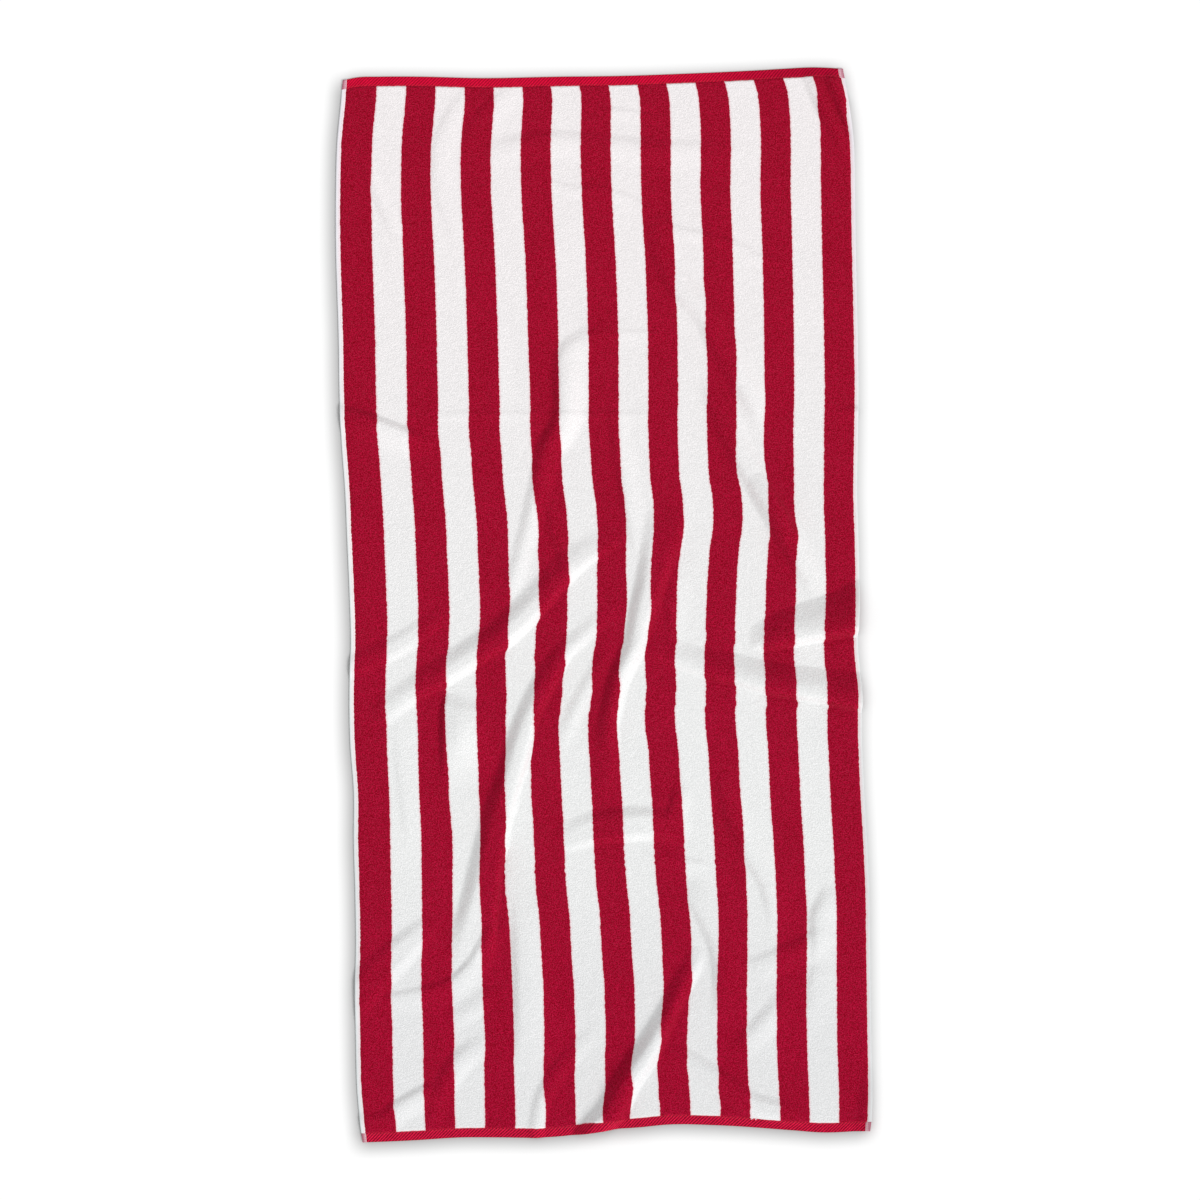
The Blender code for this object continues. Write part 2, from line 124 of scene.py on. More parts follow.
# The folds, in mm. A section gives a point of the crest, how far the cloth rises there and how far it stays
# level beside the crest. left and right are the flanks' widths at the first section and at the last. The
# tuck, from 0 to 1, is how sharp the crease is where the left flank meets the flat cloth.
Fold = namedtuple("Fold", "left right sections tuck", defaults=(0,))
At = namedtuple("At", "x y rise brow", defaults=(0, 0))
FOLDS = {
    # the three long ones down the middle and the near half
    "middle": Fold((18, 16), (20, 18), (
        At(90, 141, 0, 14), At(79, 85, 7, 12), At(66, 34, 11, 6), At(55, -6, 12, 4), At(41, -59, 11, 1),
        At(22, -98, 10.5), At(11, -136, 10), At(5, -170, 7), At(4, -205))),
    "long": Fold((14, 8), (18, 24), (
        At(26, 4), At(-2, -18, 1.5), At(-34, -46, 3.5), At(-57, -68, 5.5, 1), At(-76, -99, 8.5, 3),
        At(-102, -151, 11, 3), At(-116, -196, 12, 5), At(-130, -245, 13, 5), At(-145, -294, 13, 7),
        At(-159, -356, 13, 9), At(-167, -403, 12.5, 12), At(-177, -459, 7, 18), At(-184, -500, 0, 20))),
    "near_end": Fold((14, 20), (22, 18), (
        At(130, -478), At(124, -503, 5), At(111, -527, 8.5), At(91, -568, 12), At(63, -620, 15, 2),
        At(31, -668, 16, 3), At(9, -708, 15, 4), At(-18, -737, 14, 4), At(-43, -768, 12, 4))),
    # the pair that runs out at the right edge, and the low one that climbs to the middle from the left
    "right_edge_far": Fold((22, 64), (14, 12), (
        At(203, -52), At(222, -50, 6, 1), At(245, -47, 12, 2), At(284, -39, 14, 2), At(329, -31, 19, 2),
        At(352, -27, 22, 2), At(390, -18, 22, 2)), 0.5),
    "right_edge_near": Fold((22, 40), (12, 10), (
        At(40, -56), At(62, -63, 3, 1), At(84, -71, 5, 1), At(143, -90, 8, 2), At(182, -99, 11, 2),
        At(225, -111, 14, 2), At(269, -119, 15, 2), At(312, -127, 14.5, 2), At(356, -134, 16, 3),
        At(395, -139, 16, 3)), 0.5),
    "slant": Fold((22, 30), (18, 12), (
        At(-325, -163), At(-307, -149, 3, 2), At(-280, -129, 5, 2), At(-250, -110, 6, 3),
        At(-227, -98, 7, 3), At(-182, -69, 9.5, 4), At(-141, -43, 10.5, 4), At(-92, 4, 10, 4),
        At(-60, 40, 7.5, 3), At(-20, 72, 4.5, 2), At(30, 98))),
    "left_edge": Fold((16, 16), (14, 14), (
        At(-378, -96, 3, 3), At(-301, -62, 3.5, 4), At(-259, -36, 3, 3), At(-232, -18, 1.5, 1),
        At(-210, -4))),
    # lower ones in the far half
    "far_left": Fold((40, 16), (20, 14), (
        At(63, 391), At(14, 387, 1), At(-22, 376, 2.5), At(-54, 352, 5, 1), At(-57, 314, 8, 2),
        At(-57, 270, 9, 2), At(-66, 245, 8.5, 2), At(-80, 222, 8, 1), At(-88, 190, 6.5, 1),
        At(-95, 160, 5.5, 1), At(-113, 90, 4), At(-126, 45, 3), At(-140, 5))),
    "far_right": Fold((24, 22), (18, 18), (
        At(70, 548), At(76, 512, 3, 2), At(84, 478, 5, 2), At(105, 447, 6.5, 3), At(140, 407, 7, 3),
        At(158, 371, 7, 3), At(188, 321, 6.5, 3), At(212, 279, 4.5, 2), At(226, 250))),
    "far_right_lower": Fold((20, 20), (18, 18), (
        At(138, 318), At(162, 270, 5, 3), At(190, 215, 7, 4), At(229, 148, 8, 5), At(265, 82, 8, 4),
        At(290, 40, 4, 3), At(305, 15, 0, 2))),
    "far_right_bump": Fold((10, 10), (26, 26), (
        At(212, 185), At(224, 162, 5, 1), At(239, 138, 7, 1), At(256, 108, 5, 1), At(268, 85))),
    # lower ones in the near half
    "arch": Fold((20, 20), (14, 14), (
        At(-75, -336, 0, 4), At(-45, -324, 3, 7), At(-20, -315, 4.5, 9), At(22, -309, 6.5, 10),
        At(62, -307, 6.5, 9), At(90, -311, 4, 7), At(118, -320, 0, 4))),
    "arch_hook": Fold((24, 24), (8, 8), (
        At(104, -250), At(100, -268, 3, 1), At(94, -288, 3.5, 1), At(88, -304))),
    "beside_long": Fold((45, 45), (14, 14), (
        At(-130, -380, 0, 1), At(-123, -415, 1, 1), At(-118, -445, 3, 2), At(-116, -475, 4.5, 3),
        At(-115, -505, 5, 3), At(-114, -545, 5, 3), At(-114, -587, 4, 3), At(-115, -627, 1.5, 2),
        At(-116, -650, 0, 2))),
    "hook": Fold((40, 40), (14, 14), (
        At(112, -386), At(126, -410, 3.5, 2), At(141, -437, 5, 2), At(157, -475, 6, 2), At(163, -512, 6, 2),
        At(163, -550, 3, 2), At(160, -585, 0, 2))),
    "right_bend": Fold((14, 14), (30, 30), (
        At(186, -512), At(220, -500, 2.5, 2), At(262, -482, 3.5, 2), At(286, -470, 3, 2), At(308, -450))),
    "right_tail": Fold((36, 36), (16, 12), (
        At(318, -392), At(310, -412, 3.5, 1), At(299, -436, 5, 1), At(300, -466, 4, 1),
        At(298, -500, 1.5, 1), At(296, -520, 2.5, 1), At(290, -560, 1.5, 1), At(287, -590))),
    "left_low": Fold((22, 16), (22, 16), (
        At(-380, -576, 1, 10), At(-346, -545, 3, 11), At(-304, -501, 5, 9), At(-263, -463, 4, 5),
        At(-235, -440, 0, 2))),
    "left_curl": Fold((10, 10), (30, 30), (
        At(-322, -551), At(-300, -549, 2), At(-259, -541, 3), At(-217, -528, 3.5), At(-189, -503, 4.5),
        At(-168, -468, 4), At(-157, -440))),
    "near_left": Fold((18, 16), (18, 22), (
        At(-240, -722, 1), At(-237, -708, 2.5), At(-231, -686, 4, 1), At(-218, -659, 4.5, 2),
        At(-202, -636, 4.5, 2), At(-185, -622, 3, 2), At(-167, -609, 1, 1), At(-156, -602))),
    "near_corner": Fold((12, 12), (26, 26), (
        At(-345, -722, 2, 1), At(-308, -716, 3.5, 1), At(-287, -700, 4.5, 1), At(-251, -680, 4.5, 1),
        At(-238, -673))),
    "near_middle": Fold((20, 12), (14, 14), (
        At(0, -585), At(-30, -610, 1.5, 1), At(-63, -647, 3.5, 1), At(-85, -684, 4.5, 1),
        At(-94, -720, 4, 1), At(-98, -755, 3, 1))),
    "near_right": Fold((16, 16), (16, 16), (
        At(70, -616), At(116, -636, 4, 2), At(160, -665, 6.5, 3), At(203, -696, 6.5, 4),
        At(249, -709, 4.5, 4), At(285, -718, 0, 2))),
    # small drifts and tucks between them
    "middle_tail": Fold((14, 14), (30, 30), (
        At(5, -160), At(8, -180, 2), At(8, -210, 3), At(5, -240, 3), At(4, -268))),
    "middle_side": Fold((30, 30), (10, 10), (
        At(98, 64), At(95, 30, 1.5), At(92, -15, 2), At(93, -50, 1), At(98, -66))),
    "beside_middle": Fold((16, 16), (16, 16), (
        At(10, -48), At(-10, -87, 2.5), At(-29, -123, 3), At(-48, -162, 2.5), At(-63, -204))),
    "centre_ripple": Fold((14, 14), (12, 12), (
        At(-80, 165), At(-75, 130, 2), At(-64, 90, 2.5), At(-53, 45, 2), At(-50, 20))),
    "right_drift": Fold((14, 40), (14, 14), (
        At(156, -232), At(167, -256, 3.5, 1), At(178, -290, 4.5, 2), At(192, -325, 4.5, 2),
        At(215, -365, 4.5, 2), At(230, -396, 4.5, 2), At(238, -433, 2, 2), At(240, -455, 0, 2))),
    "arch_tail": Fold((10, 10), (26, 26), (
        At(50, -345), At(85, -352, 1.8), At(120, -360, 1.8), At(155, -366))),
    "near_right_low": Fold((16, 16), (26, 26), (
        At(176, -628), At(200, -606, 2.5, 1), At(230, -574, 3.5, 1), At(254, -540))),
    "near_right_corner": Fold((10, 10), (20, 34), (
        At(380, -640), At(379, -672, 5), At(377, -704, 8), At(375, -750, 9))),
    "near_left_small": Fold((18, 18), (16, 16), (
        At(-227, -588), At(-200, -574, 2, 1), At(-169, -552, 2, 1), At(-153, -535))),
    "left_nick": Fold((70, 70), (8, 8), (
        At(-217, -122), At(-221, -145, 7, 1), At(-222, -185, 7, 1), At(-223, -225, 3, 1), At(-224, -255))),
    "left_cross": Fold((44, 40), (60, 60), (
        At(-226, -176), At(-205, -178, 5.5, 1), At(-185, -180, 5.5, 1), At(-165, -178, 3, 1),
        At(-145, -172)), 0.6),
    "left_drift": Fold((30, 30), (12, 12), (
        At(-290, -132), At(-284, -216, 1.5, 2), At(-274, -300, 1.5, 2), At(-270, -342))),
    "far_thin": Fold((24, 24), (12, 12), (
        At(7, 302, 0, 1), At(18, 232, 3.2, 1), At(30, 162, 3.2, 1), At(41, 99, 2.6, 1), At(52, 62))),
    "far_side": Fold((28, 28), (20, 20), (
        At(-167, 414, 0, 1), At(-158, 379, 1.5, 1), At(-153, 330, 1.5, 1), At(-151, 288, 1, 1),
        At(-158, 232))),
    "far_arc": Fold((30, 30), (12, 12), (
        At(-181, 731, 0, 1), At(-212, 690, 1.5, 1), At(-230, 652, 1.8, 1), At(-234, 610, 1.8, 1),
        At(-228, 568, 1.5, 1), At(-210, 526, 1, 1), At(-178, 490))),
    "far_arc_inner": Fold((30, 30), (12, 12), (
        At(-119, 731, 0, 1), At(-147, 708, 1.5, 1), At(-175, 683, 2, 1), At(-189, 652, 1.5, 1),
        At(-195, 617))),
    "far_corner_left": Fold((14, 14), (12, 12), (
        At(-346, 638, 0, 1), At(-326, 596, 2, 1), At(-304, 547, 2.5, 1), At(-287, 512, 1, 1))),
    "left_hollow": Fold((12, 12), (30, 30), (
        At(-380, 275, 2, 2), At(-356, 266, 5, 2), At(-325, 256, 8, 2), At(-280, 238, 7, 2),
        At(-262, 231, 4, 1), At(-240, 222, 0, 1))),
    "far_corner_right": Fold((16, 16), (12, 12), (
        At(283, 748), At(290, 732, 4, 1), At(298, 715, 5.5, 1), At(309, 690, 6, 1), At(325, 662, 5, 1),
        At(335, 645, 2, 1), At(347, 622))),
    "far_corner_edge": Fold((12, 12), (12, 12), (
        At(311, 747), At(320, 731, 6, 1), At(333, 704, 8, 1), At(345, 671, 7, 1), At(352, 645, 4),
        At(357, 615))),
    "right_nick": Fold((8, 8), (14, 14), (At(322, 272), At(340, 273, 2), At(365, 273, 3))),
    # faint creases from how it was folded away
    "crease_far": Fold((16, 16), (30, 30), (
        At(-175, 632), At(-120, 646, 2.5, 1), At(-67, 651, 3, 1), At(21, 644, 3, 1), At(63, 640, 3, 1),
        At(120, 638, 2, 1), At(178, 637, 1.2, 1), At(230, 632))),
    "crease_slanting": Fold((8, 8), (14, 14), (
        At(-119, 620), At(-77, 591, 1, 1), At(-38, 581, 1.4, 1), At(0, 580, 1.4, 1), At(46, 562, 1.4, 1),
        At(92, 529, 1.4, 1), At(139, 517, 1.8, 1), At(178, 506, 2, 1), At(213, 487, 2, 1),
        At(237, 482, 1.2, 1), At(262, 476))),
    "crease_short": Fold((7, 7), (14, 14), (
        At(-10, 694), At(4, 693, 1), At(35, 690, 1.2), At(64, 683, 1), At(80, 679))),
    "crease_upper": Fold((7, 7), (16, 16), (At(-30, 380), At(0, 381, 0.8), At(60, 381, 0.8), At(100, 379))),
    "crease_half": Fold((7, 7), (16, 16), (
        At(-275, 266), At(-200, 268, 0.8), At(-60, 268, 1), At(50, 267, 0.8), At(110, 266))),
}

THREAD_GAP = 0.004  # how far apart the threads are that get laid one by one
CREST_POINTS = 241  # how finely a crest line is read
FIT_ROUNDS = 10  # how often the threads are laid again until each has its length


def smooth_line(at, knots, values):
    """A smooth curve through (knots, values), read at `at`: cubic pieces whose slopes are the secants' means.

    Between two knots it is low + (high - low) u^2 (3 - 2 u) + lead u (1 - u)^2 - trail u^2 (1 - u), u being
    the share of the way, and lead and trail the slopes at the two knots times their distance.
    """
    knots = np.asarray(knots, float)
    values = np.asarray(values, float)
    slopes = np.gradient(values, knots)
    piece = np.clip(np.searchsorted(knots, at) - 1, 0, len(knots) - 2)
    span = knots[piece + 1] - knots[piece]
    u = np.clip((at - knots[piece]) / span, 0, 1)
    low, high = values[piece], values[piece + 1]
    lead, trail = span * slopes[piece], span * slopes[piece + 1]
    return low + (high - low) * u**2 * (3 - 2 * u) + lead * u * (1 - u) ** 2 - trail * u**2 * (1 - u)


def edge_curve(table, key, value):
    """The edge in one of the tables as a function, in metres."""
    rows = sorted(table, key=lambda row: getattr(row, key))
    knots = [getattr(row, key) * MM for row in rows]
    values = [getattr(row, value) * MM for row in rows]
    return lambda at: smooth_line(at, knots, values)


def fold_lift(fold, x, y):
    """How high one fold lifts the cloth at (x, y).

    The crest is a smooth line through the fold's sections, and a point belongs to the part of it that is
    nearest. Across the crest the cloth is level as far as the brow, and from there the flank falls by
    1 - q^2 (1 + s (2 - 2 q)), q being how much of the flank's width lies behind. The softness s of the foot
    is 1, and on the left flank it is 1 - tuck.
    """
    sections = np.array(fold.sections, float) * MM
    way = np.arange(len(sections))
    share = np.linspace(0, way[-1], CREST_POINTS)
    crest_x, crest_y, rise, brow = (smooth_line(share, way, column) for column in sections.T)
    reach = max(*fold.left, *fold.right) * MM + brow.max()
    inside = (x > crest_x.min() - reach) & (x < crest_x.max() + reach)
    inside &= (y > crest_y.min() - reach) & (y < crest_y.max() + reach)
    near_x, near_y = x[inside], y[inside]
    gap = np.hypot(near_x[:, None] - crest_x, near_y[:, None] - crest_y)
    near = gap.argmin(axis=-1)
    turn = np.gradient(crest_x)[near] * (near_y - crest_y[near])
    turn -= np.gradient(crest_y)[near] * (near_x - crest_x[near])
    left, right = (np.interp(share[near], way[[0, -1]], widths) for widths in (fold.left, fold.right))
    flank = np.where(turn > 0, left, right) * MM
    q = np.clip((gap.min(axis=-1) - brow[near]) / flank, 0, 1)
    softness = np.where(turn > 0, 1 - fold.tuck, 1)
    height = np.zeros_like(x)
    height[inside] = rise[near].clip(0) * (1 - q**2 * (1 + softness * (2 - 2 * q)))
    return height


def lift(x, y):
    """How high the underside of the cloth is above the floor."""
    return sum(fold_lift(fold, x, y) for fold in FOLDS.values())


def lay_threads():
    """The underside of the laid cloth, as a grid of points where its threads cross.

    Along Y the points share out the way from the near end to the far end. Across, each row runs from the left
    edge to the right edge, and its points are moved until each has its share of the row's length over the
    folds. Then the row drifts to the right, by a smooth curve through the drifts at its quarters, and each
    pull moves the points round it by exp(-a^2 - b^2) of its own, a and b being how many reaches off they are.
    """
    left, right, *drifts = (edge_curve(SIDES, "y", column) for column in Side._fields[1:])
    near, far = edge_curve(NEAR_END, "x", "y"), edge_curve(FAR_END, "x", "y")
    u, v = np.meshgrid(
        np.linspace(0, 1, round(CLOTH_WIDTH / THREAD_GAP) + 1),
        np.linspace(0, 1, round(CLOTH_LENGTH / THREAD_GAP) + 1),
    )
    x, y = (u - 0.5) * CLOTH_WIDTH, (v - 0.5) * CLOTH_LENGTH
    share = u
    for _ in range(FIT_ROUNDS):
        y = near(x) + (far(x) - near(x)) * v
        x = left(y) + (right(y) - left(y)) * share
        step = np.hypot(np.diff(x, axis=1), np.diff(lift(x, y), axis=1))
        run = np.pad(np.cumsum(step, axis=1), ((0, 0), (1, 0)))
        share = share + u - run / run[:, -1:]
    quarters = np.linspace(0, 1, 5)
    for drift, at_quarter in zip(drifts, np.eye(5)[1:]):
        x = x + drift(y) * smooth_line(u, quarters, at_quarter)
    for pull in PULLS:
        off = ((x / MM - pull.x) / pull.wide) ** 2 + ((y / MM - pull.y) / pull.long) ** 2
        x = x + pull.by * MM * np.exp(-off)
    return np.stack([x, y, lift(x, y)], axis=-1)


def unit(vectors):
    """The vectors, each made one long."""
    return vectors / np.linalg.norm(vectors, axis=-1, keepdims=True)


threads = lay_threads()
upward = unit(np.cross(np.gradient(threads, axis=1), np.gradient(threads, axis=0)))
threads_and_upward = np.pad(
    np.concatenate([threads, upward], axis=-1), ((1, 1), (1, 1), (0, 0)), mode="reflect", reflect_type="odd"
)


def laid(flat):
    """Where places of the flat cloth are now that it lies in its folds.

    flat holds (across, along, height), height being above the underside. Underside and upward direction are
    read between the threads with a cubic through the four nearest each way, and the height is added upwards.
    """
    across, along, height = np.moveaxis(flat, -1, 0)
    rows, columns = threads.shape[:2]
    column = (across / CLOTH_WIDTH + 0.5) * (columns - 1)
    row = (along / CLOTH_LENGTH + 0.5) * (rows - 1)
    first_column = np.clip(column.astype(int), 0, columns - 2)
    first_row = np.clip(row.astype(int), 0, rows - 2)

    def weights(u):
        """How much each of the four neighbours counts at u between the middle two."""
        cubes = (-u + 2 * u**2 - u**3, 2 - 5 * u**2 + 3 * u**3, u + 4 * u**2 - 3 * u**3, u**3 - u**2)
        return [cube[..., None] / 2 for cube in cubes]

    found = 0
    for i, by_row in enumerate(weights(row - first_row)):
        for j, by_column in enumerate(weights(column - first_column)):
            found = found + by_row * by_column * threads_and_upward[first_row + i, first_column + j]
    return found[..., :3] + unit(found[..., 3:]) * height[..., None]


# The ground cloth -------------------------------
# The woven ground carries the pile, and its stripes show on the back too, where the loops are short and
# uncut. One sheet of cotton, about 1 mm thick, that runs from hem to hem and is turned in there.

STRIPES = 17
STRIPE_WIDTH = 0.0422
LEFT_STRIPE_WIDTH = 0.0440
LEFT_HEM_WIDTH = 0.0063
END_HEM_WIDTH = 0.0135
GROUND_BACK = 0.00025  # the hems keep the ground's back this far off the floor
GROUND_TOP = 0.0013
GROUND_CELL = 0.0073
HEM_TUCK = 0.002  # how far inside the cloth's edge the ground stops
SHARP_FROM = math.radians(60)

stripe_edges = -CLOTH_WIDTH / 2 + LEFT_HEM_WIDTH + np.concatenate(
    [[0], LEFT_STRIPE_WIDTH + STRIPE_WIDTH * np.arange(STRIPES)]
)
RIGHT_HEM_WIDTH = CLOTH_WIDTH / 2 - stripe_edges[-1]


def placed(name, data):
    """A new object in the scene."""
    item = bpy.data.objects.new(name, data)
    bpy.context.scene.collection.objects.link(item)
    return item


def cloth_piece(name, flat, material, bands=1, halves=False):
    """Closed skins on the cloth, through rings of points.

    flat is (bodies, rings, points around, 3), in (across, along, height) of the flat cloth. Each quad joins
    two neighbours on a ring and the same two on the next ring. A face closes each end, or a row of quads
    between the ring's two halves, where the second half lies under the first. The map for pictures lays every
    body out in `bands` rows, so that a long thin piece fills the square.
    """
    bodies, rings, around = flat.shape[:3]
    index = np.arange(bodies * rings * around).reshape(bodies, rings, around)
    beside = np.roll(index, -1, axis=2)
    quads = np.stack([index[:, :-1], beside[:, :-1], beside[:, 1:], index[:, 1:]], axis=-1).reshape(-1, 4)
    ends = np.concatenate([index[:, 0, ::-1], index[:, -1]])
    if halves:
        there, back = ends[:, : around // 2], ends[:, : around // 2 - 1 : -1]
        ends = np.stack([there[:, :-1], there[:, 1:], back[:, 1:], back[:, :-1]], axis=-1).reshape(-1, 4)
    mesh = bpy.data.meshes.new(name)
    mesh.from_pydata(laid(flat).reshape(-1, 3).tolist(), [], quads.tolist() + ends.tolist())
    places = mesh.attributes.new("cloth", "FLOAT_VECTOR", "POINT")
    places.data.foreach_set("vector", flat.astype(np.float32).ravel())

    body, ring, point = np.meshgrid(np.arange(bodies), np.arange(rings - 1), np.arange(around), indexing="ij")
    in_band = -(-(rings - 1) // bands)
    tile = body * bands + ring // in_band
    tiles_wide = math.ceil(math.sqrt(bodies)) if bodies > 1 else 1
    tiles_high = -(-bodies * bands // tiles_wide)
    margin = 0.02
    corner_ring = np.array([0, 0, 1, 1])
    corner_point = np.array([0, 1, 1, 0])
    u = ((ring % in_band)[..., None] + corner_ring) / in_band
    v = (point[..., None] + corner_point) / around
    u = (tile[..., None] % tiles_wide + margin + (1 - 3 * margin) * u) / tiles_wide
    v = (tile[..., None] // tiles_wide + margin + (1 - 2 * margin) * v) / tiles_high
    count, sides = ends.shape
    turn = 2 * np.pi * np.arange(sides) / sides
    end_tile = (np.arange(count) * 2 * bodies // count % bodies)[:, None]
    end_place = (0.1 + 0.8 * (np.arange(count) + 0.5) / count)[:, None]
    end_u = (end_tile % tiles_wide + 1 - margin * (1 - 0.4 * np.cos(turn))) / tiles_wide
    end_v = (end_tile // tiles_wide + end_place + 0.3 * np.sin(turn) / count) / tiles_high
    chart = np.concatenate([np.stack([u, v], -1).reshape(-1, 2), np.stack([end_u, end_v], -1).reshape(-1, 2)])
    mesh.uv_layers.new(name="OFBake").data.foreach_set("uv", chart.astype(np.float32).ravel())

    mesh.shade_smooth()
    mesh.set_sharp_from_angle(angle=SHARP_FROM)
    mesh.materials.append(material)
    piece = placed(name, mesh)
    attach(piece, "root")
    return piece


def evenly(start, end, step):
    """Places from start to end, about a step apart."""
    return np.linspace(start, end, round(abs(end - start) / step) + 1)


def ring_grid(along, ring_across, ring_height):
    """Rings across the cloth, one at each place along it, as (1, rings, points, 3)."""
    flat = np.broadcast_arrays(ring_across, along[:, None], ring_height)
    return np.stack(flat, axis=-1)[None]


def add_node(tree, kind, settings=None, **inputs):
    """A shader node. settings are its own values, and inputs are values or other nodes' outputs."""
    node = tree.nodes.new("ShaderNode" + kind)
    for key, value in (settings or {}).items():
        setattr(node, key, value)
    for key, value in inputs.items():
        socket = node.inputs[int(key[1:])] if key[1:].isdigit() else node.inputs[key.replace("_", " ")]
        if isinstance(value, bpy.types.NodeSocket):
            tree.links.new(value, socket)
        else:
            socket.default_value = value
    return node


def cloth_material(name, roughness, sheen, gloss=0.03):
    """A new cloth material, its tree, and where a point lies on the flat cloth, in metres."""
    material = bpy.data.materials.new(name)
    material.use_nodes = True
    tree = material.node_tree
    shader = tree.nodes["Principled BSDF"]
    shader.inputs["Roughness"].default_value = roughness
    shader.inputs["Specular IOR Level"].default_value = gloss
    shader.inputs["Sheen Weight"].default_value = sheen
    shader.inputs["Sheen Roughness"].default_value = 0.5
    place = add_node(tree, "Attribute", {"attribute_name": "cloth"}).outputs["Vector"]
    return material, tree, place


def dress(tree, colour, relief, strength, depth):
    """Gives the shader its colour and a relief, with its depth in metres."""
    shader = tree.nodes["Principled BSDF"]
    bump = add_node(tree, "Bump", Height=relief, Strength=strength, Distance=depth)
    tree.links.new(colour, shader.inputs["Base Color"])
    tree.links.new(bump.outputs["Normal"], shader.inputs["Normal"])


def mottle(tree, place, scale, detail=2.0, low=0.3, high=0.7):
    """Cloudy spots of a 1 / scale metre size, from 0 to 1."""
    noise = add_node(tree, "TexNoise", Vector=place, Scale=scale, Detail=detail, Roughness=0.6)
    spread = add_node(tree, "MapRange", Value=noise.outputs["Fac"], From_Min=low, From_Max=high)
    return spread.outputs["Result"]


def worked(tree, operation, *values):
    """What a step of arithmetic makes of the values."""
    inputs = {f"_{number}": value for number, value in enumerate(values)}
    return add_node(tree, "Math", {"operation": operation}, **inputs).outputs[0]


def weighted(tree, *terms):
    """The sum of (weight, value) terms."""
    total = 0.0
    for weight, value in terms:
        total = worked(tree, "MULTIPLY_ADD", value, weight, total)
    return total


def blended(tree, share, low, high, how="MIX"):
    """A colour between low and high, or for MULTIPLY between low and low times high."""
    mix = add_node(tree, "Mix", {"data_type": "RGBA", "blend_type": how}, _0=share, _6=low, _7=high)
    return mix.outputs[2]


def short_loops():
    """The back: red and white stripes of short loops, a little duller than the pile."""
    material, tree, place = cloth_material("short_loops", 0.95, 0.1)
    straight = add_node(tree, "SeparateXYZ", _0=place).outputs[0]
    across = worked(tree, "MULTIPLY_ADD", mottle(tree, place, 260), 0.0012, straight)
    count = add_node(tree, "MapRange", {"clamp": False}, Value=across, From_Min=stripe_edges[1], To_Max=1.0,
                     From_Max=stripe_edges[3]).outputs["Result"]
    white = worked(tree, "LESS_THAN", worked(tree, "FRACT", count), 0.5)
    loops = add_node(tree, "TexVoronoi", Vector=place, Scale=520.0).outputs["Distance"]
    tone = weighted(tree, (0.9, loops), (0.3, mottle(tree, place, 60)))
    red_yarn = blended(tree, tone, (0.24, 0.003, 0.016, 1), (0.42, 0.012, 0.04, 1))
    white_yarn = blended(tree, tone, (0.66, 0.65, 0.65, 1), (0.86, 0.85, 0.85, 1))
    dress(tree, blended(tree, white, red_yarn, white_yarn), loops, 0.5, 0.0008)
    return material


def make_ground_cloth():
    """The ground as one closed sheet: each ring goes across over the top and back underneath."""
    along = evenly(-CLOTH_LENGTH / 2 + HEM_TUCK, CLOTH_LENGTH / 2 - HEM_TUCK, GROUND_CELL)
    across = evenly(-CLOTH_WIDTH / 2 + HEM_TUCK, CLOTH_WIDTH / 2 - HEM_TUCK, GROUND_CELL)
    height = np.concatenate([np.full(len(across), GROUND_TOP), np.full(len(across), GROUND_BACK)])
    rings = ring_grid(along, np.concatenate([across, across[::-1]]), height)
    piece = cloth_piece("ground_cloth", rings, short_loops(), halves=True)
    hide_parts("towel")
    return piece


ground_cloth = make_ground_cloth()


# The pile ---------------------------------------
# Nine red and eight white stripes of sheared cotton pile, dyed in the yarn and woven in from side to side.
# The tufts stand 1.7 mm above the ground, lean a little over each other's edges, and end at the hems.

PILE_TOP = 0.0030
PILE_FOOT = 0.0009
PILE_EDGE = 0.0019  # its height where it ends at a hem
PILE_SHOULDER = 0.0020
PILE_ROW = 0.00155
PILE_COLUMNS = 16
FOOT_COLUMNS = 3
RAGGED_STEP = 0.00155  # tufts along a stripe's edge
RAGGED_BY = 0.0006
END_RAGGED_BY = 0.0003
LUMP = 0.008
TUFT = 0.0042
SWELL = 0.00010  # of the lumps, and of the tufts
RED_GRAIN = 0.00010
WHITE_GRAIN = 0.00008

chance = np.random.default_rng(17)


def eased(at, step, start, end):
    """Weights that read values a step apart at any place: each neighbour counts by a raised cosine."""
    knots = np.arange(start, end + 2 * step, step)
    gap = np.abs(at[:, None] - knots) / step
    return np.where(gap < 1, 0.5 + 0.5 * np.cos(np.pi * gap.clip(0, 1)), 0)


def uneven(along, across, step):
    """A soft uneven field from -1 to 1 over the cloth, with swells about a step wide."""
    by_row = eased(along, step, -CLOTH_LENGTH / 2, CLOTH_LENGTH / 2)
    by_column = eased(across, step, -CLOTH_WIDTH / 2, CLOTH_WIDTH / 2)
    values = np.random.default_rng(int(step * 1e5)).uniform(-1, 1, (by_row.shape[1], by_column.shape[1]))
    return by_row @ values @ by_column.T


def ragged_edge():
    """How far the tufts of one edge stand out of line, as a function of the place along it."""
    knots = evenly(-CLOTH_LENGTH / 2, CLOTH_LENGTH / 2, RAGGED_STEP)
    out = RAGGED_BY * chance.uniform(-1, 1, len(knots))
    return lambda along: np.interp(along, knots, out)


def shoulder(inset):
    """From 0 at an edge to 1 a shoulder's width inside it, along a quarter of a circle."""
    return np.sqrt(1 - (1 - np.clip(inset / PILE_SHOULDER, 0, 1)) ** 2)


def tinted(tree, colour, value, start, end, tint):
    """The colour, multiplied by the tint where value has come from start to end, and by less before."""
    share = add_node(tree, "MapRange", {"interpolation_type": "SMOOTHSTEP"}, Value=value, From_Min=start,
                     From_Max=end)
    return blended(tree, share.outputs["Result"], colour, tint, "MULTIPLY")


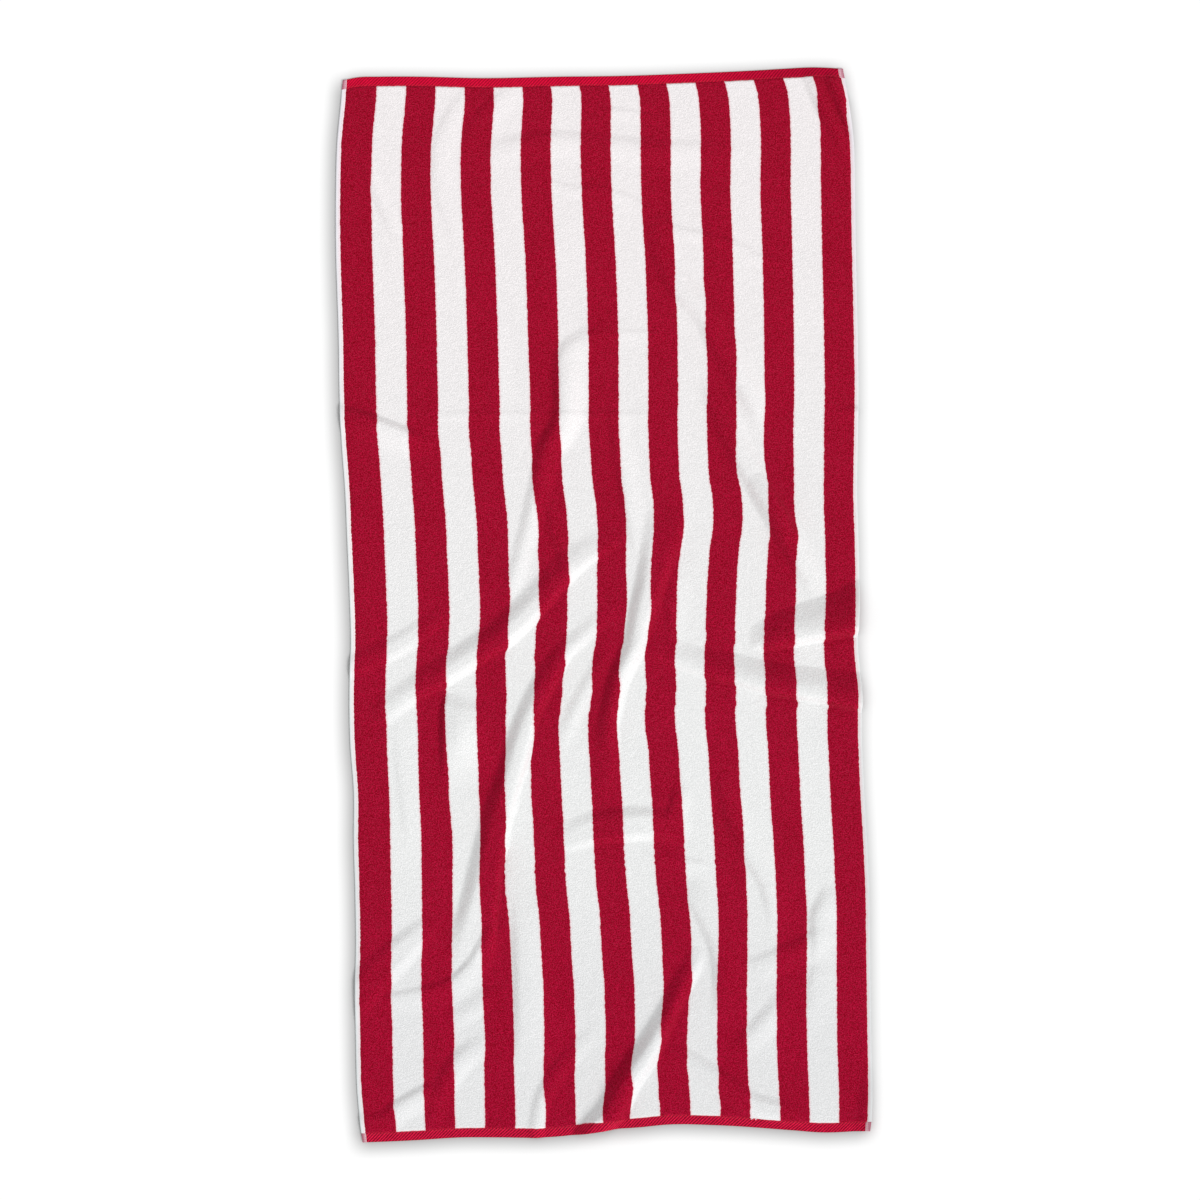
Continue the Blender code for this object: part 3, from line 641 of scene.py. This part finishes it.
def pile(name, dark, light, pale, fringe, far_tint, near_tint, strength):
    """Sheared pile: fine tufts, clumps of them and slow drifts of colour, with pale fibres among them and a
    tinted fringe at the edges. The far half and the near half differ a little in tone."""
    material, tree, place = cloth_material(name, 0.95, 0.02, 0.01)
    tufts = mottle(tree, place, 620, 1.0, 0.40, 0.60)
    tone = weighted(tree, (0.77, tufts), (0.15, mottle(tree, place, 240)), (0.08, mottle(tree, place, 14)))
    fibres = worked(tree, "MULTIPLY", mottle(tree, place, 710, 1.0, 0.53, 0.66), 0.45)
    colour = blended(tree, fibres, blended(tree, tone, dark, light), pale)
    along = add_node(tree, "SeparateXYZ", _0=place).outputs[1]
    colour = tinted(tree, colour, along, -0.3, 0.7, far_tint)
    colour = tinted(tree, colour, along, -0.3, -0.6, near_tint)
    edge = add_node(tree, "Attribute", {"attribute_name": "edge"}).outputs["Fac"]
    strands = worked(tree, "MULTIPLY_ADD", mottle(tree, place, 600), 0.6, 0.4)
    colour = blended(tree, worked(tree, "MULTIPLY", edge, strands), colour, fringe)
    dress(tree, colour, weighted(tree, (0.7, tufts), (0.5, mottle(tree, place, 330))), strength, 0.0009)
    return material


def make_stripe(number, left_ragged, right_ragged, grain):
    """One stripe's pile as a closed skin: each ring goes over the tufts and back along their feet."""
    end = CLOTH_LENGTH / 2 - END_HEM_WIDTH
    along = evenly(-end, end, PILE_ROW)
    left, right = stripe_edges[number] + left_ragged(along), stripe_edges[number + 1] + right_ragged(along)
    share = np.linspace(0, 1, PILE_COLUMNS + 1)
    across = left[:, None] + (right - left)[:, None] * share
    nominal = stripe_edges[number] + (stripe_edges[number + 1] - stripe_edges[number]) * share

    inset = np.broadcast_to((end - np.abs(along))[:, None], across.shape)
    if number == 0:
        inset = np.minimum(inset, across - left[:, None])
    if number == STRIPES - 1:
        inset = np.minimum(inset, right[:, None] - across)
    relief = SWELL * uneven(along, nominal, LUMP) + SWELL * uneven(along, nominal, TUFT)
    relief = relief + grain * chance.standard_normal(across.shape).clip(-2, 2)
    top = PILE_EDGE + (PILE_TOP - PILE_EDGE + relief) * shoulder(inset)

    foot_share = np.linspace(1, 0, FOOT_COLUMNS + 1)
    foot = left[:, None] + (right - left)[:, None] * foot_share
    flat = ring_grid(along, np.concatenate([across, foot], axis=1),
                     np.concatenate([top, np.full_like(foot, PILE_FOOT)], axis=1))
    stepped = np.concatenate([chance.uniform(-1, 1, PILE_COLUMNS + 1), np.zeros(FOOT_COLUMNS + 1)])
    near_end = np.clip(1 - (end - np.abs(along)) / (4 * PILE_ROW), 0, 1)[:, None]
    flat[0, :, :, 1] += END_RAGGED_BY * stepped * near_end * np.sign(along)[:, None]

    red = number % 2 == 0
    name = f"{'red' if red else 'white'}_pile_{number + 1:02d}"
    piece = cloth_piece(name, flat, red_pile if red else white_pile, bands=6)
    edge = np.zeros(flat.shape[1:3])
    edge[:, [0, PILE_COLUMNS]] = 1
    edge[[0, -1]] = 1
    at_edge = piece.data.attributes.new("edge", "FLOAT", "POINT")
    at_edge.data.foreach_set("value", edge.astype(np.float32).ravel())
    return piece


red_pile = pile("red_pile", (0.208, 0.0, 0.004, 1), (0.503, 0.006, 0.045, 1), (0.47, 0.036, 0.08, 1),
                (0.42, 0.01, 0.035, 1), (1, 1, 0.93, 1), (1, 0.9, 1, 1), 0.7)
white_pile = pile("white_pile", (0.765, 0.777, 0.773, 1), (0.95, 0.95, 0.95, 1), (0.88, 0.893, 0.89, 1),
                  (0.84, 0.48, 0.54, 1), (1.043, 0.99, 1.0, 1), (0.94, 0.937, 0.945, 1), 0.5)
ragged_edges = [ragged_edge() for _ in range(STRIPES + 1)]
stripes = [
    make_stripe(number, *ragged_edges[number : number + 2], WHITE_GRAIN if number % 2 else RED_GRAIN)
    for number in range(STRIPES)
]


# The end hems -----------------------------------
# Past the pile each end of the cloth is woven flat, as a bright red twill, turned over twice and stitched
# down. Its ribs run up to the right, and the turned edge is round.

HEM_TOP = 0.0018
HEM_RING = 0.0007
HEM_FLAT_FROM = 0.0012
HEM_FLAT_TO = END_HEM_WIDTH + 0.001  # it runs on a little under the pile
RIB_GAP = 0.0033
RIB_TILT = math.radians(43)
RIB_HEIGHT = 0.00016


def twill(name, dark, light, axis, start, end, tint):
    """Flat twill: fine slanting ribs, coloured lighter on their tops as a painted highlight and darker in
    their valleys as painted shade, and uneven in tone along each. It takes a darker tint, which is painted
    shade, from start to end, across the cloth where axis is 0 and along it where axis is 1."""
    material, tree, place = cloth_material(name, 0.8, 0.05)
    split = add_node(tree, "SeparateXYZ", _0=place)
    turns = 2 * math.pi / RIB_GAP
    phase = weighted(tree, (-turns * math.sin(RIB_TILT), split.outputs[0]),
                     (turns * math.cos(RIB_TILT), split.outputs[1]), (0.9, mottle(tree, place, 300)))
    rib = worked(tree, "MULTIPLY_ADD", worked(tree, "COSINE", phase), 0.5, 0.5)
    # The rib term makes the colour lighter on the ribs' tops and darker in their valleys: painted highlight
    # and painted shade. The mottles are the yarn's own uneven tone.
    tone = weighted(tree, (0.68, rib), (0.26, mottle(tree, place, 740, 1.0, 0.36, 0.64)),
                    (0.06, mottle(tree, place, 90)))
    # The darker tint is painted shade.
    colour = tinted(tree, blended(tree, tone, dark, light), split.outputs[axis], start, end, tint)
    dress(tree, colour, rib, 0.5, 0.0003)
    return material


def make_end_hem(name, side, material, rib_share):
    """One end hem. The profile goes from the turned edge over the top to under the pile, and back below."""
    across = evenly(stripe_edges[0], stripe_edges[-1], HEM_RING)
    round_inset = HEM_TOP / 2 * (1 - np.cos(np.linspace(0, 1.35, 5) * np.pi / 2))
    round_height = HEM_TOP / 2 * (1 + np.sin(np.linspace(-0.75, 0.75, 5) * np.pi / 2))
    top_inset = evenly(HEM_FLAT_FROM, HEM_FLAT_TO, 0.00105)
    inset = np.concatenate([round_inset, top_inset, np.linspace(HEM_FLAT_TO, HEM_FLAT_FROM, 4)])
    height = np.concatenate([round_height, np.full(len(top_inset), HEM_TOP), np.zeros(4)])
    ribbed = np.concatenate([np.linspace(0, 1, 5), np.ones(len(top_inset)), np.zeros(4)])
    along = side * (CLOTH_LENGTH / 2 - inset)
    phase = (along * math.cos(RIB_TILT) - across[:, None] * math.sin(RIB_TILT)) / RIB_GAP
    ribs = RIB_HEIGHT * rib_share * ribbed * (0.5 + 0.5 * np.cos(2 * np.pi * phase))
    flat = np.stack(np.broadcast_arrays(across[:, None], along, height + ribs), axis=-1)[None]
    if side < 0:
        flat = flat[:, :, ::-1]
    piece = cloth_piece(name, flat, material, bands=4)
    return piece


# Both carry painted shade: the far one is duller towards its right end, and the near one along its turned
# edge
far_twill = twill("far_twill", (0.24, 0.0, 0.010, 1), (0.86, 0.006, 0.054, 1),
                  0, 0.10, 0.33, (0.70, 0.7, 0.8, 1))
near_twill = twill("near_twill", (0.05, 0.0, 0.002, 1), (0.88, 0.012, 0.071, 1),
                   1, 0.0018 - CLOTH_LENGTH / 2, -CLOTH_LENGTH / 2, (0.62, 0.5, 0.62, 1))
end_hems = [
    make_end_hem("far_hem", 1, far_twill, 0.8),
    make_end_hem("near_hem", -1, near_twill, 1.2),
]


# The side hems ----------------------------------
# Each long edge is the bare white selvedge, rolled narrow and stitched. It is smoother than the pile, and
# stands about 2 mm high, a little unevenly.

SIDE_RING = 0.002
SIDE_TOP = 0.0021
CROSS_THREADS = 5200.0  # radians a metre, for threads 1.2 mm apart


def selvedge(name, width, inner, outer):
    """Smooth cotton with faint cross threads, of one colour at its inner edge and another at its outer edge.
    It is pinker at the cloth's far end and duller at the near end."""
    material, tree, place = cloth_material(name, 0.85, 0.05)
    split = add_node(tree, "SeparateXYZ", _0=place)
    across, along = split.outputs[0], split.outputs[1]
    wave = worked(tree, "SINE", worked(tree, "MULTIPLY", along, CROSS_THREADS))
    inside = CLOTH_WIDTH / 2 - width
    outward = add_node(tree, "MapRange", Value=worked(tree, "ABSOLUTE", across), From_Min=inside,
                       From_Max=inside + 0.0045)
    colour = blended(tree, outward.outputs["Result"], inner, outer)
    colour = tinted(tree, colour, along, 0.0, 0.7, (1.0, 0.95, 1.0, 1))
    colour = tinted(tree, colour, along, 0.0, -0.4, (0.89, 0.90, 0.91, 1))
    tone = weighted(tree, (0.2, wave), (0.5, mottle(tree, place, 600)), (0.3, mottle(tree, place, 45)))
    shade = blended(tree, tone, (0.93, 0.93, 0.93, 1), (1.05, 1.05, 1.05, 1))
    dress(tree, blended(tree, 1.0, colour, shade, "MULTIPLY"), wave, 0.3, 0.0002)
    return material


def make_side_hem(name, side, width, material):
    """One side hem: a flattened roll carried along the edge."""
    end = CLOTH_LENGTH / 2 - END_HEM_WIDTH
    along = evenly(-end, end, SIDE_RING)
    inset = np.array([0.6, 0.0, 0.15, 0.9, 2.2, 3.6]) * MM
    inset = np.concatenate([inset, [width, width + 0.0009, width + 0.0009, 0.003]])
    height = np.array([0.0, 0.6, 1.35, 1.9, 2.1, 2.1, 1.95, 1.6, 0.4, 0.0]) * MM
    swell = 1 + 0.08 * uneven(along, np.zeros(1), 0.011)
    across = side * (CLOTH_WIDTH / 2 - inset)
    rings = ring_grid(along, across, height * swell)
    if side > 0:
        rings = rings[:, :, ::-1]
    piece = cloth_piece(name, rings, material, bands=8)
    return piece


left_selvedge = selvedge("left_selvedge", LEFT_HEM_WIDTH, (0.94, 0.80, 0.82, 1), (0.90, 0.93, 0.93, 1))
# The grey outer colour of the right selvedge is painted shade on the outer side of its roll; the pink inner
# colour is the thread's own.
right_selvedge = selvedge("right_selvedge", RIGHT_HEM_WIDTH, (0.98, 0.81, 0.83, 1), (0.79, 0.80, 0.80, 1))
side_hems = [
    make_side_hem("left_hem", -1, LEFT_HEM_WIDTH, left_selvedge),
    make_side_hem("right_hem", 1, RIGHT_HEM_WIDTH, right_selvedge),
]


# The corners ------------------------------------
# Where a side hem is folded into an end hem, the corner is a small thick white block, overcast and tacked
# down with the end hem's red thread, so that it looks pink from a step away.

CORNER_TOP = 0.0024
CORNER_CUT = 0.0012
RIGHT_CORNER_WIDTH = RIGHT_HEM_WIDTH + 0.002
TACK_ROWS = 5
TACKS_IN_ROW = 3


def make_corner(name, side, end, width, material):
    """One corner: a block whose rings shrink towards its two ends, so that all its edges are round. Its outer
    edge slants in towards the cloth's end."""
    along = np.array([0.0, 0.0003, 0.0012, 0.004, 0.007, 0.010, 0.0128, 0.0135])
    swell = np.array([0.0, 0.6, 1, 1, 1, 1, 0.9, 0.7])
    inset = np.array([0.5, 0.0, 0.1, 0.8, 2.2]) * MM
    inset = np.concatenate([inset, [width - 0.0006, width + 0.0004, width + 0.0004, 0.002]])
    height = np.array([0.0, 0.6, 1.5, 2.2, 2.4, 2.3, 1.9, 0.3, 0.0]) * MM
    middle = 0.0009
    cut = CORNER_CUT * (1 - along / along[-1])[:, None] * np.clip(1 - inset / (width - 0.001), 0, 1)
    across = side * (CLOTH_WIDTH / 2 - inset - cut)
    rings = ring_grid(end * (CLOTH_LENGTH / 2 - along), across, middle + (height - middle) * swell[:, None])
    if side * end < 0:
        rings = rings[:, :, ::-1]
    piece = cloth_piece(name, rings, material, bands=2)
    return piece


overcast = selvedge("overcast_corner", LEFT_HEM_WIDTH, (0.82, 0.56, 0.61, 1), (0.52, 0.20, 0.26, 1))
corners = [
    make_corner("far_left_corner", -1, 1, LEFT_HEM_WIDTH, overcast),
    make_corner("far_right_corner", 1, 1, RIGHT_CORNER_WIDTH, overcast),
    make_corner("near_left_corner", -1, -1, LEFT_HEM_WIDTH, overcast),
    make_corner("near_right_corner", 1, -1, RIGHT_CORNER_WIDTH, overcast),
]


# The stitching ----------------------------------
# A row of lockstitch holds each hem down, close to the pile: red cotton thread on the end hems and white on
# the side hems. Each stitch is a short thread that dips into the cloth at both ends.

THREAD_RADIUS = 0.00024
# Places along a stitch from its middle, in half lengths, with the thread's fatness and height there
STITCH_SHAPE = (
    (-1.0, 0.35, -0.00030),
    (-0.72, 1.0, 0.0),
    (0.0, 1.05, 0.00012),
    (0.72, 1.0, 0.0),
    (1.0, 0.35, -0.00030),
)
THREAD_SIDES = 6
END_STITCH = 0.0027
END_STITCH_STEP = 0.0031
SIDE_STITCH = 0.0030
SIDE_STITCH_STEP = 0.0036
TACK = 0.0021


def make_stitches(name, middles, headings, length, material):
    """Stitches as closed threads: rings round each stitch's line, narrow and low at its ends."""
    along_share, fatness, dip = np.array(STITCH_SHAPE).T
    turn = 2 * np.pi * np.arange(THREAD_SIDES) / THREAD_SIDES
    sideways = np.stack([-headings[:, 1], headings[:, 0]], axis=-1)
    plan = middles[:, None, :2] + headings[:, None] * along_share[None, :, None] * length / 2
    radius = THREAD_RADIUS * fatness[:, None]
    across_along = plan[:, :, None] + sideways[:, None, None] * (radius * np.cos(turn))[None, ..., None]
    height = middles[:, None, None, 2] + dip[:, None] + radius * np.sin(turn)
    piece = cloth_piece(name, np.concatenate([across_along, height[..., None]], axis=-1), material)
    return piece


def thread(name, dark, light):
    """Twisted cotton thread, uneven in tone."""
    material, tree, place = cloth_material(name, 0.7, 0.1)
    tone = weighted(tree, (0.6, mottle(tree, place, 1500)), (0.4, mottle(tree, place, 90)))
    dress(tree, blended(tree, tone, dark, light), mottle(tree, place, 2600), 0.4, 0.0001)
    return material


def stitch_row(start, end, step, height):
    """The middles and headings of stitches in a straight row on the flat cloth, a little out of line."""
    start, end = np.array(start), np.array(end)
    count = round(np.linalg.norm(end - start) / step)
    share = (np.arange(count) + 0.5) / count
    plan = start + (end - start) * share[:, None]
    heading = unit(end - start)
    wander = chance.normal(0, 0.00012, count)[:, None] * np.array([-heading[1], heading[0]])
    turned = chance.normal(0, 0.05, count)
    headings = unit(heading + turned[:, None] * np.array([-heading[1], heading[0]]))
    return np.column_stack([plan + wander, np.full(count, height)]), headings


red_thread = thread("red_thread", (0.42, 0.012, 0.03, 1), (0.62, 0.06, 0.09, 1))
white_thread = thread("white_thread", (0.80, 0.72, 0.73, 1), (0.95, 0.89, 0.90, 1))
tack_thread = thread("tack_thread", (0.36, 0.03, 0.06, 1), (0.62, 0.16, 0.22, 1))
end_row = CLOTH_LENGTH / 2 - END_HEM_WIDTH + 0.0014
end_stitches = [
    make_stitches(name, *stitch_row((stripe_edges[0], y), (stripe_edges[-1], y), END_STITCH_STEP,
                                    HEM_TOP + 0.00022), END_STITCH, red_thread)
    for name, y in (("far_stitches", end_row), ("near_stitches", -end_row))
]
row_end = CLOTH_LENGTH / 2 - END_HEM_WIDTH
left_row, right_row = 0.0044 - CLOTH_WIDTH / 2, CLOTH_WIDTH / 2 - 0.0032
side_stitches = [
    make_stitches(name, *stitch_row((x, -row_end), (x, row_end), SIDE_STITCH_STEP, SIDE_TOP), SIDE_STITCH,
                  white_thread)
    for name, x in (("left_stitches", left_row), ("right_stitches", right_row))
]


def make_tacks(name, side, end, width):
    """The close rows of stitches across one corner."""
    rows = np.linspace(0.0018, END_HEM_WIDTH - 0.0016, TACK_ROWS)
    columns = np.linspace(0.0011, width - 0.0009, TACKS_IN_ROW)
    inset_along, inset_across = (grid.ravel() for grid in np.meshgrid(rows, columns, indexing="ij"))
    middles = np.stack([side * (CLOTH_WIDTH / 2 - inset_across), end * (CLOTH_LENGTH / 2 - inset_along),
                        np.full(len(inset_along), CORNER_TOP - 0.0001)], axis=-1)
    headings = unit(np.column_stack([chance.normal(0, 0.25, len(middles)), np.ones(len(middles))]))
    return make_stitches(name, middles, headings, TACK, tack_thread)


tacks = [
    make_tacks(f"{end_name}_{side_name}_tacks", side, end, width)
    for end_name, end in (("far", 1), ("near", -1))
    for side_name, side, width in (("left", -1, LEFT_HEM_WIDTH), ("right", 1, RIGHT_CORNER_WIDTH))
]


# The floor --------------------------------------
# A white studio floor. The towel lies on it, and a soft shadow round the cloth is painted into the floor's
# colour all round, most of all to the left and near sides.

FLOOR_REACH = 6.0
FLOOR_CELL = 0.006
# The painted shadow round the cloth: its reach, how far past the edge it is centred, how far it is moved to
# the left and near sides, and how deep it is
PAINTED_SHADOW_REACH = 0.0217
PAINTED_SHADOW_OUT = 0.0020
PAINTED_SHADOW_ASIDE = 0.0043
PAINTED_SHADOW_DEPTH = 0.37


def make_floor():
    """A flat grid, fine near the towel, with a painted shadow that is a blurred outline of the cloth, moved
    to the left and near sides. In each direction it is u^2 (3 - 2 u), u going from 0 to 1 between a reach
    outside the edge and a reach inside. The product is how dark the painted shadow makes the floor, and 1 -
    (1 - that)^2.2 how much of the floor's white it takes away."""
    far_off = np.array([-FLOOR_REACH, -2, -1])
    x_line = np.concatenate([far_off, evenly(-0.46, 0.46, FLOOR_CELL), -far_off[::-1]])
    y_line = np.concatenate([far_off, evenly(-0.84, 0.84, FLOOR_CELL), -far_off[::-1]])
    x, y = np.meshgrid(x_line, y_line)
    left, right = (edge_curve(SIDES, "y", column)(y) for column in ("left", "right"))
    near, far = (edge_curve(table, "x", "y")(x) for table in (NEAR_END, FAR_END))
    moved_x, moved_y = x + PAINTED_SHADOW_ASIDE, y + PAINTED_SHADOW_ASIDE
    insides = np.stack([moved_x - left, right - moved_x, moved_y - near, far - moved_y]) + PAINTED_SHADOW_OUT
    u = np.clip((insides + PAINTED_SHADOW_REACH) / (2 * PAINTED_SHADOW_REACH), 0, 1)
    # painted shadow: how much the floor's white is darkened round the cloth's outline
    shade = 1 - (1 - PAINTED_SHADOW_DEPTH * np.prod(u**2 * (3 - 2 * u), axis=0)) ** 2.2
    index = np.arange(x.size).reshape(x.shape)
    faces = np.stack([index[:-1, :-1], index[:-1, 1:], index[1:, 1:], index[1:, :-1]], axis=-1).reshape(-1, 4)
    mesh = bpy.data.meshes.new("floor")
    mesh.from_pydata(np.stack([x, y, np.zeros_like(x)], axis=-1).reshape(-1, 3).tolist(), [], faces.tolist())
    mesh.attributes.new("shade", "FLOAT", "POINT").data.foreach_set("value", shade.astype(np.float32).ravel())
    floor = placed("floor", mesh)
    material = bpy.data.materials.new("white_floor_painted_shadow")
    material.use_nodes = True
    tree = material.node_tree
    shader = tree.nodes["Principled BSDF"]
    shader.inputs["Roughness"].default_value = 1.0
    shader.inputs["Specular IOR Level"].default_value = 0.0
    # the floor's colour is white, darkened by the painted shadow
    share = add_node(tree, "Attribute", {"attribute_name": "shade"}).outputs["Fac"]
    tree.links.new(blended(tree, share, (1, 1, 1, 1), (0.0, 0.0, 0.0, 1)), shader.inputs["Base Color"])
    mesh.materials.append(material)
    return floor


floor = make_floor()


# Light and camera -------------------------------
# One broad soft lamp low at the near right gives the folds their shape, and an even white surround fills.
# The camera looks straight down from a height of 4.7 m.

SURROUND = 0.655
LAMP_POWER = 1.91
LAMP_HEADING = math.radians(-45)
LAMP_HEIGHT = math.radians(38)
LAMP_SPREAD = math.radians(25)
VIEW_WIDTH = 1.68
VIEW_MIDDLE = Vector((-0.007, 0.0084, 0.0))
LENS = 100


def make_light():
    """The lamp and the surround."""
    lamp = bpy.data.lights.new("soft_lamp", "SUN")
    lamp.energy = LAMP_POWER
    lamp.angle = LAMP_SPREAD
    holder = placed("soft_lamp", lamp)
    level = math.cos(LAMP_HEIGHT)
    towards = Vector((level * math.cos(LAMP_HEADING), level * math.sin(LAMP_HEADING), math.sin(LAMP_HEIGHT)))
    holder.location = towards * 3
    holder.rotation_euler = towards.to_track_quat("Z", "Y").to_euler()
    world = bpy.data.worlds.new("surround")
    world.use_nodes = True
    background = world.node_tree.nodes["Background"]
    background.inputs["Color"].default_value = (1, 1, 1, 1)
    background.inputs["Strength"].default_value = SURROUND
    bpy.context.scene.world = world


def make_camera():
    """The camera, with its distance from the width that it shows."""
    data = bpy.data.cameras.new("camera")
    data.lens = LENS
    camera = placed("camera", data)
    camera.location = VIEW_MIDDLE + Vector((0, 0, VIEW_WIDTH * LENS / data.sensor_width))
    bpy.context.scene.camera = camera


make_light()
make_camera()
bpy.context.scene.view_settings.view_transform = "Standard"
bpy.context.scene.view_settings.look = "None"
